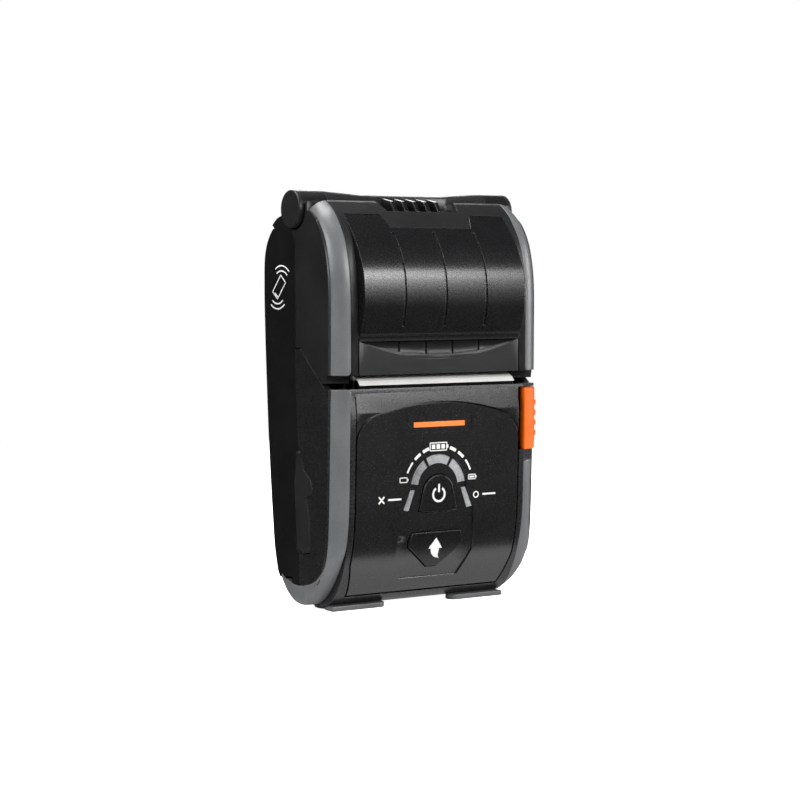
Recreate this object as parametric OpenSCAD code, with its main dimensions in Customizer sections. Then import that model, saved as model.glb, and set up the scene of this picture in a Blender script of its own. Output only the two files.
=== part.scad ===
// Portable receipt printer, standing upright on its bottom feet.
// X runs to the right, Y to the back and Z up. Sizes are in millimetres.

/* [Case] */
// Width over the side walls
case_w = 76.6; // [74:0.1:84]
// How far the flat of the front lies before the middle
front_y = 20; // [19.5:0.1:22]
// How far the back and the lid's bulge reach from the middle
half_depth = 23.4; // [23:0.1:26]
// Wall of the case and the lid
wall = 2.2; // [1.8:0.1:2.6]
// Height of the parting line on the side walls
side_z = 80.5; // [79:0.1:83]
// Where the front and rear halves meet on the side
seam_y = 3.2; // [2.8:0.1:3.4]
// Gap between the lid and the case
lid_gap = 0.3; // [0.2:0.05:0.5]

/* [Hinge] */
// Room between the full roll and the hinge barrel
barrel_room = 1; // [0.8:0.1:3]
// Distance of the hinge axis behind the middle
hinge_y = 3.3; // [3:0.1:4]
// Radius of the hinge barrel at its ends
barrel_r = 5.8; // [5.4:0.1:6.2]
// Radius of the waisted middle of the barrel
waist_r = 4.8; // [4.4:0.1:5.2]
// Length of the middle of the barrel, which turns with the lid
barrel_l = 59.4; // [56:0.1:60]
// How far the end discs stand out of the side walls
cap_out = 1.7; // [1:0.1:2]
// Diameter of the hinge pin
pin_d = 3; // [2:0.1:3.4]
// Running clearance round pins and shafts
run_gap = 0.05; // [0.03:0.01:0.08]

/* [Lid] */
// Half width of the bulged window
dome_half = 29.6; // [28:0.1:30]
// Bottom edge of the window
dome_z = 83.2; // [82:0.1:84]
// Wall of the window
dome_wall = 1.6; // [1.2:0.1:2]
// Depth of the finger recess
finger_depth = 0.8; // [0.4:0.1:1]
// Height of the finger recess in its middle
finger_h = 4.5; // [3:0.1:5]
// Distance between the grooves of the finger recess
finger_pitch = 9.85; // [8:0.05:10]
// Number of fins in front of the hinge barrel
fins = 5; // [3:1:6]
// Distance from fin to fin
fin_pitch = 4.1; // [3.6:0.1:4.4]
// Width of one fin
fin_w = 1.6; // [1:0.1:2]

/* [Paper slot] */
// Bottom edge of the slot
slot_z = 68.8; // [67:0.1:70]
// Height of the slanted band under the slot
band_h = 7.2; // [5:0.1:8]
// How far the band leans back at its top
band_in = 1.2; // [0.4:0.1:1.4]
// Height of the slot
slot_h = 4.2; // [4:0.1:4.6]
// Width of the paper
paper_w = 57.5; // [50:0.1:58]
// Room between the full roll and the wall behind it
roll_room = 2.4; // [2.2:0.1:6]
// Outer diameter of the roll's core
core_d = 13; // [10:0.1:16]
// How far the bottom of the roll lies below the top of the platen roller
roll_sink = 2.2; // [1.6:0.1:2.4]

/* [Print mechanism] */
// Diameter of the platen roller
platen_d = 8; // [7:0.1:8.4]
// How far the platen roller lies behind the flat of the front
platen_back = 5; // [4.8:0.1:5.6]
// Diameter of the platen shaft
shaft_d = 3; // [2:0.1:3.4]
// Tooth size of the gears, pitch diameter over teeth
gear_module = 0.5; // [0.48:0.01:0.52]
// Teeth of the platen gear
platen_teeth = 14; // [12:1:15]
// Teeth of the idler gear
idler_teeth = 32; // [28:1:32]
// Teeth of the motor gear
motor_teeth = 12; // [11:1:14]
// Width of the gears
gear_w = 2.2; // [1.6:0.1:2.4]
// Diameter of the feed motor
motor_d = 16; // [14:0.1:16.4]
// Length of the feed motor
motor_l = 18; // [14:0.1:20]
// Thickness of the steel chassis
frame_t = 1; // [0.8:0.1:1.1]

/* [Panel] */
// Half width of the arched panel
panel_half = 30; // [28:0.1:30.4]
// Top of the arched panel
panel_top = 63.8; // [62:0.1:65]
// Thickness of the panel
panel_t = 1.4; // [1:0.1:1.6]
// Depth of the recess round the buttons
pocket_depth = 0.5; // [0.2:0.1:0.8]
// Middle of the arc of lights
arc_z = 37.7; // [37:0.1:39]
// Outer radius of the arc of lights
arc_r = 10.2; // [9.6:0.1:11]
// Width of the arc of lights
arc_w = 2.8; // [2:0.1:3]
// Height of the power button's stem
key_high = 36; // [35.5:0.1:37]
// Height of the feed button's stem
key_low = 20; // [19.5:0.1:21]
// Travel of the power and feed buttons
key_travel = 0.8; // [0.4:0.1:1]
// Width of the name plate
plate_w = 24.2; // [18:0.1:28]
// Height of the name plate
plate_h = 4.8; // [3:0.1:5.4]
// Height of the middle of the name plate
plate_z = 57.3; // [56.5:0.1:58]

/* [Bumpers and feet] */
// Radius of the case's front corners
corner_r = 6; // [5:0.1:6.4]
// Depth of the rubber at the corners
bumper_t = 3.4; // [3:0.1:4]
// Inner end of the feet
foot_x = 12.1; // [8:0.1:16]
// Front edge of the feet before the middle
foot_y = -8.6; // [-9.4:0.1:-8]
// Width of the narrow part of the feet
foot_w = 5; // [4:0.1:6]
// Height of the feet before they meet the belly
foot_t = 1.6; // [1.4:0.1:2]
// Middle of the round lobe of each foot
lobe_x = 25.8; // [22:0.1:26]
// Middle of the lobe from front to back
lobe_y = 0.9; // [0:0.1:2]
// Radius of the round lobe
lobe_r = 6; // [4:0.1:6.2]

/* [Release button] */
// Bottom of the release button
release_z = 48; // [47.5:0.1:50]
// Height of the release button
release_h = 19.6; // [15:0.1:19.8]
// Travel of the release button
release_travel = 1.5; // [1:0.1:1.6]
// How far the release button reaches back along the side
release_y = 10.5; // [9:0.1:12]
// Number of grip ribs
grips = 4; // [2:1:5]
// Distance between the grip ribs
grip_pitch = 3.25; // [2.5:0.05:3.6]
// How far the release button stands out of the side
release_out = 1; // [0.4:0.1:1.2]
// How far the grip ribs stand out of the button
grip_out = 0.6; // [0.3:0.1:0.7]

/* [Battery] */
// Width of the battery pack
pack_w = 53; // [45:0.1:53.4]
// Height of the battery pack
pack_h = 38.2; // [30:0.1:38.4]
// Bottom of the battery pack
pack_z = 14.8; // [14.6:0.1:16]
// Front face of the battery pack
pack_y = 6; // [5.9:0.1:8]
// Clearance round the battery pack
pack_gap = 0.3; // [0.2:0.05:0.5]
// Wall of the battery well
well_wall = 1.5; // [1:0.1:1.6]

/* [Sockets] */
// Height of the power socket
power_z = 24; // [23:0.1:25]
// Height of the data socket
data_z = 36; // [35:0.1:36.2]
// Bore of the power socket
power_d = 5.5; // [4:0.1:6]
// Thickness of the rubber port cover
port_t = 1.5; // [1:0.1:1.6]

/* [Boards and screws] */
// Thickness of the main board
board_t = 1.2; // [0.8:0.1:1.6]
// Front face of the main board
board_y = -11.6; // [-11.8:0.1:-11.2]
// Distance of the case screws from the middle
screw_x = 32.6; // [32.4:0.1:33]
// Height of the lower case screws
screw_low = 14; // [13.8:0.1:15]
// Height of the upper case screws
screw_high = 43.8; // [43.4:0.1:44.2]
// Thread diameter of the case screws
screw_d = 2.2; // [1.6:0.1:2.6]

/* [Hidden] */
$fn = 64;

black = [0.09, 0.09, 0.1];
charcoal = [0.17, 0.17, 0.18];
grey = [0.42, 0.43, 0.44];
silver = [0.72, 0.73, 0.75];
orange = [0.95, 0.42, 0.12];
paper_white = [0.93, 0.93, 0.92];
green = [0.08, 0.34, 0.2];
steel = [0.6, 0.61, 0.63];

big = 60;
half_w = case_w / 2;
bumper_x = half_w - corner_r;
slot_top = slot_z + slot_h;
// The roller lies behind the slot, the roll above it and the hinge above the roll, as [y, z]
platen = [-front_y + platen_back + platen_d / 2, slot_top + platen_d / 2];
roll_r = half_depth - wall - roll_room;
roll_d = 2 * roll_r;
roll = [0.2, platen.y + platen_d / 2 + roll_r - roll_sink];
hinge_z = roll.y + roll_r + barrel_r + barrel_room;
barrel_gap = 0.15;
knuckle_clear = barrel_r + 0.6;
step = 3;

// Smooth curve through the given points, with step pieces between each two
function curve_point(a, b, c, d, t) = 0.5 * (2 * b + (c - a) * t + (2 * a - 5 * b + 4 * c - d) * t * t
    + (3 * b - a - 3 * c + d) * t * t * t);
function smooth(p) = let (last = len(p) - 1) concat([for (i = [0 : last - 1], k = [0 : step - 1])
    curve_point(p[max(i - 1, 0)], p[i], p[i + 1], p[min(i + 2, last)], k / step)], [p[last]]);
function reversed(p) = [for (i = [len(p) - 1 : -1 : 0]) p[i]];
function arc(c, r, from, to, n) = [for (i = [0 : n]) let (a = from + (to - from) * i / n)
    c + r * [cos(a), sin(a)]];
function side_of(a, b) = let (t = (b - a) / norm(b - a)) [-t.y, t.x];
// Closed outline, run through with its inside on the left, moved inward by d
function inset(p, d) = let (n = len(p)) [for (i = [0 : n - 1])
    let (u = side_of(p[(i + n - 1) % n], p[i]), v = side_of(p[i], p[(i + 1) % n]))
    p[i] + d * (u + v) / max(1 + u * v, 0.5)];
// Open curve moved to its left by d
function shifted(p, d) = let (n = len(p) - 1) [for (i = [0 : n])
    p[i] + d * side_of(p[max(i - 1, 0)], p[min(i + 1, n)])];

// Side view of the front, as [y, z] from the hinge down to the slot, on the face of the lid
lid_face = smooth([[-front_y + 14.6, hinge_z + 2.6], [-front_y + 10.6, hinge_z],
    [-front_y + 7.4, hinge_z - 3.4], [-front_y + 3.4, hinge_z - 9.6], [-front_y + 0.9, hinge_z - 18.2],
    [-front_y + 0.1, hinge_z - 27.2], [-front_y, 84], [-front_y, slot_top]]);
// The same stretch at the foot of the corner bumper
lid_edge = smooth([[-front_y + 16, hinge_z - 0.6], [-front_y + 12.4, hinge_z - 2.3],
    [-front_y + 9.4, hinge_z - 5], [-front_y + 6.2, hinge_z - 10.4], [-front_y + 4.1, hinge_z - 18.2],
    [-front_y + bumper_t, hinge_z - 26.4], [-front_y + bumper_t, 84], [-front_y + bumper_t, slot_top]]);
// The face of the lower half, from the slot round the bottom corner
belly_face = smooth([[-front_y, slot_z], [-front_y + 0.3, slot_z - 12.8], [-front_y + 0.6, 44.6],
    [-front_y + 1, 31], [-front_y + 1.9, 23], [-front_y + 3.6, 16], [-front_y + 6.4, 9.6],
    [-front_y + 9.8, 4.9], [-front_y + 13.8, 1.9], [-front_y + 17.8, 0.9]]);
// The corner bumpers draw back from the belly towards the bottom
guard_face = smooth([[-front_y, slot_z], [-front_y + 0.3, slot_z - 12.8], [-front_y + 0.6, 44.6],
    [-front_y + 1, 31], [-front_y + 2.3, 21.8], [-front_y + 4.6, 16.4], [-front_y + 8.4, 10.4],
    [-front_y + 12.8, 5.4], [-front_y + 17.4, 2]]);
belly_edge = smooth([[-front_y + bumper_t, slot_z], [-front_y + bumper_t + 0.3, 56],
    [-front_y + bumper_t + 0.6, 44.6], [-front_y + bumper_t + 1, 31], [-front_y + bumper_t + 1.7, 20.4],
    [-front_y + bumper_t + 3.1, 15], [-front_y + bumper_t + 6.4, 11.2],
    [-front_y + bumper_t + 10.4, 9.1], [-front_y + bumper_t + 14.9, 8]]);
// From there under the bottom and up to the back
heel_face = smooth([[-front_y + 17.8, 0.9], [-front_y + 21.6, 0.8], [-front_y + 25.4, 1.8],
    [-front_y + 29, 4.6], [-front_y + 32.4, 8.9]]);
guard_heel = smooth([[-front_y + 17.4, 2], [-front_y + 21.2, 1.2], [-front_y + 25.2, 1.8],
    [-front_y + 29, 4.5], [-front_y + 32.4, 8.9]]);
heel_edge = smooth([[-front_y + bumper_t + 14.9, 8], [-front_y + 21.8, 7.6], [-front_y + 25.6, 8],
    [-front_y + 29.2, 8.9], [-front_y + 31.4, 10.2]]);
// Curve held within y on either side
function no_further(p, y) = [for (q = p) [max(min(q.x, y), -y), q.y]];
back_face = no_further(smooth([[-front_y + 32.4, 8.9], [half_depth - 6.9, 15.1], [half_depth - 5.1, 27],
    [half_depth - 2.9, 48], [half_depth - 1.3, 70], [half_depth - 0.4, 86], [half_depth, 97],
    [half_depth - 0.1, hinge_z - 16.6], [half_depth - 1, hinge_z - 12], [half_depth - 2.6, hinge_z - 8.8],
    [half_depth - 5.2, hinge_z - 5.8], [half_depth - 9.2, hinge_z - 2.8],
    [hinge_y + barrel_r + 0.8, hinge_z - 1.6]]), half_depth);
function joined(a, b) = concat(a, [for (i = [1 : len(b) - 1]) b[i]]);
band_face = concat([[-front_y + band_in, slot_z], [face_y(slot_z - band_h), slot_z - band_h]],
    [for (q = belly_face) if (q.y < slot_z - band_h - 1) q]);
outline = concat(lid_face, joined(joined(band_face, heel_face), back_face));
edge_line = concat(lid_edge, joined(belly_edge, heel_edge));
inner_line = inset(outline, wall);
// The hollow behind the corners shares the back of the main hollow, point for point
back_start = len(outline) - len(back_face) + step;
inner_edge = concat(shifted(edge_line, wall), [for (i = [back_start : len(outline) - 1]) inner_line[i]]);
edge_end = edge_line[len(edge_line) - 1];
bumper_end = edge_end + 4 * (heel_face[len(heel_face) - 1] - edge_end);

// Where the lid, the front half and the rear half of the case meet, as [y, z]
seam = [[seam_y + 1.5, hinge_z - 6.7], [seam_y + 0.2, hinge_z - 9.5], [seam_y, 95.4],
    [seam_y - 0.2, side_z], [seam_y - 0.4, 71], [seam_y - 1.4, 58.6], [seam_y - 2.1, 49.4],
    [seam_y - 2.5, 18.9], [seam_y - 2.5, 8.4], [seam_y - 3.7, 7.3], [seam_y - 4.9, 3.4],
    [seam_y - 4.9, -5]];
lid_corner = [seam_y - 3.3, side_z];
lid_nose = [seam_y - 15.7, side_z - 10.3];
rear_region = concat(seam, [[big, -5], [big, hinge_z + 20], [seam_y + 1.5, hinge_z + 20]]);
front_region = concat([[-big, -5], [-big, slot_z], [lid_nose.x - 2, slot_z], lid_nose, lid_corner],
    [for (i = [3 : len(seam) - 1]) seam[i]]);
lid_region = concat([[-big, slot_top], [lid_nose.x - 3, slot_top], lid_nose + [-2.6, lid_gap],
    lid_nose + [0, lid_gap], lid_corner + [0, lid_gap], seam[3] + [-lid_gap, lid_gap]],
    [for (i = [2 : -1 : 0]) seam[i] - [lid_gap, 0]], [[seam_y + 1.2, hinge_z + 20], [-big, hinge_z + 20]]);

function face_y(z) = lookup(z, [for (p = reversed(belly_face)) [p.y, p.x]]);

// Drawings in the Y Z plane, extruded along X
module along_x(points, from, to) {
    translate([from, 0, 0]) rotate([90, 0, 90]) linear_extrude(to - from) polygon(points);
}
// Drawings in the X Z plane, extruded along Y
module along_y(points, from, to) {
    translate([0, to, 0]) rotate([90, 0, 0]) linear_extrude(to - from) polygon(points);
}
// Rod along X through [y, z]
module rod_x(at, d, from, to) {
    translate([from, at.x, at.y]) rotate([0, 90, 0]) cylinder(h = to - from, d = d);
}
module rod_y(at, d, from, to) {
    translate([at.x, from, at.y]) rotate([-90, 0, 0]) cylinder(h = to - from, d = d);
}
module block(from, to) {
    translate(from) cube(to - from);
}
module both_sides() {
    children();
    mirror([1, 0, 0]) children();
}
// Everything in front of the line along which the corner bumpers sit
module corner_cut() {
    both_sides() along_x(concat([[lid_edge[0].x, hinge_z + 20]], edge_line,
        [bumper_end, [bumper_end.x, -5], [-big, -5], [-big, hinge_z + 20]]), bumper_x, half_w + 1);
}
module case_shell() {
    difference() {
        along_x(outline, -half_w, half_w);
        corner_cut();
        along_x(inner_line, -bumper_x + wall, bumper_x - wall);
        along_x(inner_edge, -half_w + wall, half_w - wall);
    }
}
// Strip of the lower face between two depths, for what lies in it
function face_band(from, to) = concat(shifted(belly_face, from), reversed(shifted(belly_face, to)));

// Places of the moving and carrying parts, as [y, z]
hinge = [hinge_y, hinge_z];
swing = platen - hinge;
away = [swing.y, -swing.x] / norm(swing);
mesh_gap = 0.12;
function pitch_r(teeth) = gear_module * teeth / 2;
function tip_r(teeth) = pitch_r(teeth) + 0.9 * gear_module;
idler = platen - away * (pitch_r(platen_teeth) + pitch_r(idler_teeth) + mesh_gap);
motor_dir = 262;
motor = idler + [cos(motor_dir), sin(motor_dir)]
    * (pitch_r(idler_teeth) + pitch_r(motor_teeth) + mesh_gap);
platen_l = paper_w - 0.7;
arm_in = platen_l / 2 + 0.5;
arm_t = 1.1;
plate_in = arm_in + arm_t + 0.4;
plate_out = plate_in + frame_t;
bush_d = shaft_d + 2.2;
gear_x = -half_w + wall + 0.4;
head_z = slot_top - 0.45;
head_t = 1.2;
head_l = 7.6;
sink_t = 2.9;
head_y = platen.x - 3.8;
bay_r = roll_r + 0.6;
bay_t = 1.2;
port_x = -half_w;
panel_gap = 0.6;
ledge = 1.2;
key_gap = 0.25;

// Arched outline of the panel, as [x, z]
crown_r = 82;
shoulder_r = 9;
shoulder_x = panel_half - shoulder_r;
shoulder_z = panel_top - crown_r + sqrt(pow(crown_r - shoulder_r, 2) - shoulder_x * shoulder_x);
shoulder_a = atan2(shoulder_z - panel_top + crown_r, shoulder_x);
arch = concat([[-panel_half + 2, 5], [panel_half - 2, 5], [panel_half, 15]],
    joined(joined(arc([shoulder_x, shoulder_z], shoulder_r, 0, shoulder_a, 6),
    arc([0, panel_top - crown_r], crown_r, shoulder_a, 180 - shoulder_a, 12)),
    arc([-shoulder_x, shoulder_z], shoulder_r, 180 - shoulder_a, 180, 6)), [[-panel_half, 15]]);
// Keyhole outline of the recess round the lights and buttons
pocket = concat([[-arc_r - 0.5, 9.2], [arc_r + 0.5, 9.2], [arc_r + 4, 17], [arc_r + 4, 22],
    [arc_r + 2.8, arc_z - 6.7]], arc([0, arc_z], arc_r + 0.15, 0, 180, 24),
    [[-arc_r - 2.8, arc_z - 6.7], [-arc_r - 4, 22], [-arc_r - 4, 17]]);
power_shape = concat([[-7, key_high - 5.4], [-3.4, key_high - 6], [3.4, key_high - 6],
    [7, key_high - 5.4]], arc([0, key_high], 5.6, 18, 162, 12));
feed_shape = [[-10, key_low + 1.4], [-10, key_low - 0.6], [-2, key_low - 7.3], [2, key_low - 7.3],
    [10, key_low - 0.6], [10, key_low + 1.4], [8.8, key_low + 3.8], [-8.8, key_low + 3.8]];
function light(from, to) = concat(arc([0, arc_z], arc_r, from, to, 8),
    arc([0, arc_z], arc_r - arc_w, to, from, 8));
light_low = light(122, 172);
light_mid = light(64, 116);
light_full = light(8, 58);
status_shape = [[arc_r - 1.6, arc_z - 0.6], [arc_r + 0.7, arc_z - 6.9], [arc_r + 2.6, arc_z - 6.6],
    [arc_r, arc_z - 0.5]];
error_shape = [for (p = reversed(status_shape)) [-p.x, p.y]];
lights = [light_low, light_mid, light_full, status_shape, error_shape];
// Front half width, sides and rib recess of the window, as [x, z]
function window(grow) = [[-dome_half - grow, dome_z - grow], [dome_half + grow, dome_z - grow],
    [dome_half + grow, hinge_z - 1.6 + grow], [16.8 - grow, hinge_z - 1.6 + grow],
    [14.8 - grow, hinge_z - 5.7 + grow], [-14.8 + grow, hinge_z - 5.7 + grow],
    [-16.8 + grow, hinge_z - 1.6 + grow], [-dome_half - grow, hinge_z - 1.6 + grow]];
bulge = half_depth - front_y;
dome_h = hinge_z - 1.6 - dome_z;
dome_face = no_further(smooth([[-front_y + 9.1, dome_z + dome_h], [-front_y + 5.3, dome_z + 0.893 * dome_h],
    [-front_y + 2, dome_z + 0.789 * dome_h], [-front_y - 0.18 * bulge, dome_z + 0.672 * dome_h],
    [-front_y - 0.76 * bulge, dome_z + 0.542 * dome_h], [-half_depth, dome_z + 0.359 * dome_h],
    [-half_depth + 0.06 * bulge, dome_z + 0.255 * dome_h],
    [-front_y - 0.59 * bulge, dome_z + 0.125 * dome_h],
    [-front_y - 0.33 * bulge, dome_z + 0.06 * dome_h],
    [-front_y - 0.1, dome_z + 0.036 * dome_h], [-front_y, dome_z]]), half_depth);

// Port cover and the recess that it lies in, as [y, z]
port_shape = [[1.8, 48.9], [-0.6, 48.9], [-1.8, 43.5], [-6, 40.8], [-7.1, 37.8], [-6, 36], [-3.6, 35.1],
    [-4.2, 32.7], [-5.4, 28.5], [-5.3, 18.4], [-1.1, 17.6], [1.9, 19.1], [2.5, 22.4], [3.7, 36.2],
    [4, 39.9], [3.1, 43.1], [3, 46.2]];
port_axis = [port_x, port_shape[0].y - 0.4];
port_gap = 0.3;
sockets_y = -1.4;

module power_hole(d) {
    translate([port_x - 1, sockets_y, power_z]) rotate([0, 90, 0]) cylinder(h = wall + 2, d = d);
}
module port_cut() {
    along_x(inset(port_shape, -port_gap), port_x - 1, port_x + port_t + 0.1);
    power_hole(power_d + 1);
    block([port_x - 1, sockets_y - data_t - 0.3, data_z - data_h - 0.2],
        [port_x + wall + 1, sockets_y + data_t + 0.3, data_z + data_h + 0.2]);
}
module release_cut() {
    block([bumper_x - release_travel - 0.4, -big, release_z - 0.2],
        [big, -release_y + 0.2, release_z + release_h + 0.2]);
}
module screw_places() {
    for (x = [-screw_x, screw_x], z = [screw_low, screw_high]) translate([x, 0, z]) children();
}
boss_x = 30;
boss_low = 24;
boss_high = 37;
module board_places() {
    for (x = [-boss_x, boss_x], z = [boss_low, boss_high]) translate([x, 0, z]) children();
}

module rear_housing() {
    color(black) difference() {
        union() {
            intersection() {
                case_shell();
                along_x(rear_region, -half_w, half_w);
            }
            intersection() {
                well();
                along_x(outline, -half_w, half_w);
            }
            intersection() {
                screw_places() rotate([-90, 0, 0]) cylinder(h = big, d = 6.4);
                along_x(outline, -half_w, half_w);
            }
            both_sides() rod_x(hinge, 2 * barrel_r, barrel_l / 2 + barrel_gap, half_w + 0.3);
        }
        rod_x(hinge, 2 * (barrel_r + 0.3), -barrel_l / 2 - barrel_gap, barrel_l / 2 + barrel_gap);
        rod_x(hinge, pin_d + 2 * run_gap, -half_w - 1, half_w + 1);
        rod_x(hinge, spring_od + 0.4, -barrel_l / 2 - spring_l - 0.1, -barrel_l / 2);
        both_sides() rod_x(hinge, 2 * barrel_r - 2.6, half_w - 0.7, half_w + 1);
        battery_space(pack_gap);
        contact_space(0.1, pack_y);
        screw_places() rotate([-90, 0, 0]) cylinder(h = big, d = screw_d + 0.1, center = true);
        screw_places() translate([0, 2, 0]) rotate([-90, 0, 0]) cylinder(h = big, d = 4.4);
        port_cut();
        block([port_x - 1, 5.2, 6.6], [port_x + wall + 1, 8.7, 9.6]);
    }
}
module well() {
    edge = pack_gap + well_wall;
    block([-pack_w / 2 - edge, pack_y - edge, pack_z - edge],
        [pack_w / 2 + edge, big, pack_z + pack_h + edge]);
}
module battery_space(gap) {
    block([-pack_w / 2 - gap, pack_y - gap, pack_z - gap],
        [pack_w / 2 + gap, big, pack_z + pack_h + gap]);
}
module front_housing() {
    color(charcoal) difference() {
        union() {
            intersection() {
                case_shell();
                along_x(front_region, -half_w, half_w);
            }
            intersection() {
                union() {
                    screw_places() rotate([90, 0, 0]) cylinder(h = big, d = 5.2);
                    board_places() translate([0, board_y, 0]) rotate([90, 0, 0]) cylinder(h = big, d = 2.8);
                }
                difference() {
                    along_x(outline, -half_w, half_w);
                    corner_cut();
                }
            }
        }
        screw_places() translate([0, -9, 0]) rotate([-90, 0, 0]) cylinder(h = big, d = screw_d);
        board_places() translate([0, board_y - 3, 0]) rotate([-90, 0, 0]) cylinder(h = big, d = 1.4);
        along_y(inset(arch, ledge), -big, 0);
        intersection() {
            along_y(inset(arch, -panel_gap), -big, 0);
            along_x(face_band(-5, panel_t), -half_w, half_w);
        }
        both_sides() block([panel_half + 0.1, -big, shoulder_z - 4],
            [panel_half + 0.6, -front_y + 1, slot_z + 1]);
        release_cut();
        port_cut();
    }
}
module control_panel() {
    color(charcoal) difference() {
        intersection() {
            along_y(arch, -big, 0);
            along_x(face_band(0, panel_t), -half_w, half_w);
        }
        intersection() {
            along_y(pocket, -big, 0);
            along_x(face_band(-5, pocket_depth), -half_w, half_w);
        }
        along_y(inset(power_shape, -key_gap), -big, 0);
        along_y(inset(feed_shape, -key_gap), -big, 0);
        for (shape = lights) along_y(inset(shape, -0.05), -big, 0);
        block([-plate_w / 2 - 0.1, -big, plate_z - plate_h / 2 - 0.1],
            [plate_w / 2 + 0.1, face_y(plate_z) + 0.8, plate_z + plate_h / 2 + 0.1]);
    }
}
module name_plate() {
    color(black) block([-plate_w / 2, face_y(plate_z) + 0.3, plate_z - plate_h / 2],
        [plate_w / 2, face_y(plate_z) + 0.8, plate_z + plate_h / 2]);
}
light_back = board_y - 1.7;
module light_window(shape) {
    color(silver) along_y(shape, face_y(arc_z) + pocket_depth, light_back);
}
// Rubber strip on a corner of the case, between its foot line and its face line.
// Each ring runs from the inner foot round the corner to the face, and the corner is a quarter round
// that turns into a nearly square one towards the bottom.
corner_start = asin((corner_r - bumper_t) / corner_r);
corner_parts = 6;
square_from = 24;
square_to = 10;
function squareness(z) = min(1, max(0, (square_from - z) / (square_from - square_to)));
function bumper_ring(square) = concat([[0, 0]], [for (k = [0 : corner_parts])
    let (t = k / corner_parts, a = corner_start + (90 - corner_start) * t,
        round = [corner_r * cos(a), (corner_r * sin(a) - corner_r + bumper_t) / bumper_t],
        full = [corner_r * pow(cos(90 * t), 0.36), pow(sin(90 * t), 0.36)])
    round + (full - round) * square]);
module bumper(face, edge) {
    m = corner_parts + 2;
    last = len(face) - 1;
    points = [for (i = [0 : last], p = bumper_ring(squareness(face[i].y)))
        let (at = edge[i] + (face[i] - edge[i]) * (0.01 + 0.99 * p.y)) [bumper_x + 0.02 + p.x, at.x, at.y]];
    sides = [for (i = [0 : last - 1], k = [0 : m - 1]) let (n = (k + 1) % m)
        each [[i * m + k, (i + 1) * m + k, i * m + n], [i * m + n, (i + 1) * m + k, (i + 1) * m + n]]];
    caps = [[for (k = [0 : m - 1]) k], [for (k = [m - 1 : -1 : 0]) last * m + k]];
    color(grey) polyhedron(points, concat(sides, caps));
}
module part_of(from, to, face, edge) {
    bumper([for (i = [from : to]) face[i]], [for (i = [from : to]) edge[i]]);
}
module lower_bumper(first) {
    part_of(first, len(guard_face) - 1, guard_face, belly_edge);
}
module upper_bumper() {
    part_of(0, len(lid_face) - 1, lid_face, lid_edge);
}
module rear_bumper() {
    part_of(0, len(guard_heel) - 1, guard_heel, heel_edge);
}
module foot() {
    color(grey) difference() {
        union() {
            block([foot_x + foot_w / 2, foot_y, 0], [bumper_x - 0.4, foot_y + foot_w, foot_t]);
            translate([foot_x + foot_w / 2, foot_y + foot_w / 2, 0]) cylinder(h = foot_t, d = foot_w);
            translate([lobe_x, lobe_y, 0]) cylinder(h = foot_t, r = lobe_r);
        }
        along_x(outline, -half_w, half_w);
    }
}

spring_od = 6;
spring_l = 0.69 * (half_w - barrel_l / 2);
module hinge_pin() {
    color(steel) rod_x(hinge, pin_d, -half_w + 0.8, half_w - 0.8);
}
module hinge_cap() {
    rim = 0.5;
    cap_l = cap_out - 0.3;
    color(charcoal) translate([half_w + 0.3, hinge.x, hinge.y]) rotate([0, 90, 0]) union() {
        rotate_extrude() polygon(concat([[0, 0], [barrel_r, 0]],
            arc([barrel_r - rim, cap_l - rim], rim, 0, 90, 4), [[0, cap_l]]));
        translate([0, 0, -0.9]) cylinder(h = 1, r = barrel_r - 1.4);
    }
}
module hinge_spring() {
    color(steel) difference() {
        rod_x(hinge, spring_od, -barrel_l / 2 - spring_l, -barrel_l / 2 - barrel_gap - 0.1);
        rod_x(hinge, pin_d + 0.4, -big, 0);
    }
}

// Quarter tray that the roll lies in, with a cheek at each end
module paper_bay() {
    tray = concat(arc(roll, bay_r + bay_t, -60, 20, 16), arc(roll, bay_r, 20, -60, 16));
    cheek = concat(arc(roll, bay_r + bay_t, -60, 20, 16), arc(roll, bay_r - 7, 20, -60, 16));
    color(charcoal) union() {
        along_x(tray, -arm_in - 0.4, arm_in + 0.4);
        both_sides() along_x(cheek, arm_in + 0.4, arm_in + 1.4);
        // Ribs that carry the tray on the chassis plates
        both_sides() block([arm_in + 0.4, rib_y, slot_top + 5], [plate_out, rib_y + 4, slot_top + 11]);
    }
}
plate_front = -front_y + bumper_t + wall + 0.3;
rib_y = roll.x + 11;
module chassis_plate() {
    notch_d = bush_d + 0.5;
    difference() {
        along_x([[plate_front, head_z - 9], [motor.x - 7, motor.y - 8.4], [motor.x + 6, motor.y - 8.4],
            [rib_y + 4, slot_top], [rib_y + 4, slot_top + 5], [platen.x + 8, slot_top + 5],
            [platen.x + 5, platen.y + 4], [plate_front, platen.y + 4]], plate_in, plate_out);
        rod_x(platen, notch_d, 0, big);
        translate([plate_in - 1, platen.x, platen.y]) rotate([atan2(away.y, away.x), 0, 0])
            translate([0, 0, -notch_d / 2]) cube([frame_t + 2, big, notch_d]);
    }
}
module print_frame() {
    bar_z = head_z - 8.9;
    color(steel) difference() {
        union() {
            both_sides() chassis_plate();
            block([-plate_in - 0.1, plate_front, bar_z], [plate_in + 0.1, head_y + 5, bar_z + frame_t]);
            // Ear that the spring of the release button rests on
            block([plate_in, plate_front, release_z + 5], [plate_out, -release_y + 0.5, bar_z + 3]);
        }
        rod_x(idler, 2 + 0.1, -big, 0);
        rod_x(motor, 5, -big, 0);
    }
}
module print_head() {
    color(green) block([-platen_l / 2, head_y, head_z - head_t], [platen_l / 2, head_y + head_l, head_z]);
}
module heat_sink() {
    top = head_z - head_t;
    color(silver) block([-platen_l / 2, head_y, top - sink_t], [platen_l / 2, head_y + head_l, top]);
}
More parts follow.
